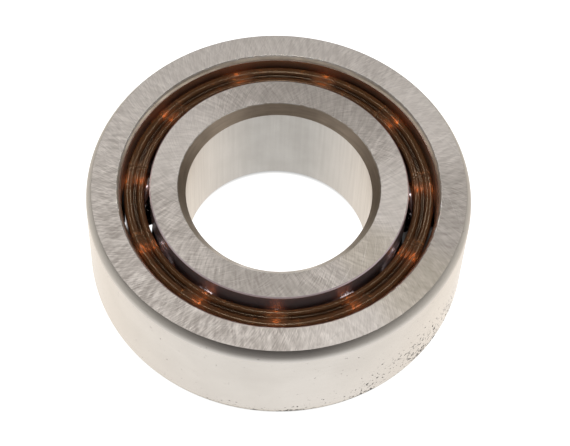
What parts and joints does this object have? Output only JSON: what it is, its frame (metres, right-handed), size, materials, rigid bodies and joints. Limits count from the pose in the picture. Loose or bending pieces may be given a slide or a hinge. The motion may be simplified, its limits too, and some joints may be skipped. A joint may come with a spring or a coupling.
{
  "type": "angular contact ball bearing",
  "caption": "Open single-row angular contact ball bearing: ground steel rings, steel balls and a one-piece amber polymer window cage.",
  "frame": {"origin": "centre of the lower side faces, on the bearing axis", "axes": "+Z along the bearing axis, up towards the outer ring's high shoulder; +X and +Y in the plane of the side faces, with one ball near -Y"},
  "size_m": [0.062, 0.062, 0.02],
  "materials": {
    "ring_steel": "fine-ground bearing steel, matt side faces with crossed grinding scratches, smoother seats and darker turned chamfers",
    "ball_steel": "lapped and polished bearing steel",
    "cage_polymer": "moulded translucent amber-brown engineering polymer, glossy"
  },
  "bodies": {
    "outer_ring": {"outer_ring": "ring_steel"},
    "inner_ring": {"inner_ring": "ring_steel"},
    "cage": {"cage": "cage_polymer"},
    "ball_01": {"ball_01": "ball_steel"},
    "ball_02": {"ball_02": "ball_steel"},
    "ball_03": {"ball_03": "ball_steel"},
    "ball_04": {"ball_04": "ball_steel"},
    "ball_05": {"ball_05": "ball_steel"},
    "ball_06": {"ball_06": "ball_steel"},
    "ball_07": {"ball_07": "ball_steel"},
    "ball_08": {"ball_08": "ball_steel"},
    "ball_09": {"ball_09": "ball_steel"},
    "ball_10": {"ball_10": "ball_steel"},
    "ball_11": {"ball_11": "ball_steel"}
  },
  "joints": [
    {"name": "inner_ring_spin", "type": "hinge", "parent": "outer_ring", "child": "inner_ring", "pos_m": [0, 0, 0.01], "axis": [0, 0, 1], "continuous": true},
    {"name": "cage_spin", "type": "hinge", "parent": "outer_ring", "child": "cage", "pos_m": [0, 0, 0.01], "axis": [0, 0, 1], "continuous": true},
    {"name": "ball_01_spin", "type": "hinge", "parent": "cage", "child": "ball_01", "pos_m": [0.00064, -0.02299, 0.01], "axis": [-0.0118, 0.4225, 0.9063], "continuous": true},
    {"name": "ball_02_spin", "type": "hinge", "parent": "cage", "child": "ball_02", "pos_m": [0.01297, -0.01899, 0.01], "axis": [-0.2383, 0.349, 0.9063], "continuous": true},
    {"name": "ball_03_spin", "type": "hinge", "parent": "cage", "child": "ball_03", "pos_m": [0.02118, -0.00897, 0.01], "axis": [-0.3892, 0.1648, 0.9063], "continuous": true},
    {"name": "ball_04_spin", "type": "hinge", "parent": "cage", "child": "ball_04", "pos_m": [0.02267, 0.00391, 0.01], "axis": [-0.4165, -0.0718, 0.9063], "continuous": true},
    {"name": "ball_05_spin", "type": "hinge", "parent": "cage", "child": "ball_05", "pos_m": [0.01695, 0.01554, 0.01], "axis": [-0.3115, -0.2856, 0.9063], "continuous": true},
    {"name": "ball_06_spin", "type": "hinge", "parent": "cage", "child": "ball_06", "pos_m": [0.00586, 0.02224, 0.01], "axis": [-0.1077, -0.4087, 0.9063], "continuous": true},
    {"name": "ball_07_spin", "type": "hinge", "parent": "cage", "child": "ball_07", "pos_m": [-0.00709, 0.02188, 0.01], "axis": [0.1303, -0.402, 0.9063], "continuous": true},
    {"name": "ball_08_spin", "type": "hinge", "parent": "cage", "child": "ball_08", "pos_m": [-0.0178, 0.01457, 0.01], "axis": [0.327, -0.2677, 0.9063], "continuous": true},
    {"name": "ball_09_spin", "type": "hinge", "parent": "cage", "child": "ball_09", "pos_m": [-0.02285, 0.00264, 0.01], "axis": [0.4198, -0.0484, 0.9063], "continuous": true},
    {"name": "ball_10_spin", "type": "hinge", "parent": "cage", "child": "ball_10", "pos_m": [-0.02065, -0.01013, 0.01], "axis": [0.3794, 0.1862, 0.9063], "continuous": true},
    {"name": "ball_11_spin", "type": "hinge", "parent": "cage", "child": "ball_11", "pos_m": [-0.01189, -0.01969, 0.01], "axis": [0.2185, 0.3618, 0.9063], "continuous": true}
  ],
  "couplings": [
    {"joint": "cage_spin", "follows": "inner_ring_spin", "ratio": 0.40617},
    {"joint": "ball_01_spin", "follows": "inner_ring_spin", "ratio": -2.3297},
    {"joint": "ball_02_spin", "follows": "inner_ring_spin", "ratio": -2.3297},
    {"joint": "ball_03_spin", "follows": "inner_ring_spin", "ratio": -2.3297},
    {"joint": "ball_04_spin", "follows": "inner_ring_spin", "ratio": -2.3297},
    {"joint": "ball_05_spin", "follows": "inner_ring_spin", "ratio": -2.3297},
    {"joint": "ball_06_spin", "follows": "inner_ring_spin", "ratio": -2.3297},
    {"joint": "ball_07_spin", "follows": "inner_ring_spin", "ratio": -2.3297},
    {"joint": "ball_08_spin", "follows": "inner_ring_spin", "ratio": -2.3297},
    {"joint": "ball_09_spin", "follows": "inner_ring_spin", "ratio": -2.3297},
    {"joint": "ball_10_spin", "follows": "inner_ring_spin", "ratio": -2.3297},
    {"joint": "ball_11_spin", "follows": "inner_ring_spin", "ratio": -2.3297}
  ]
}
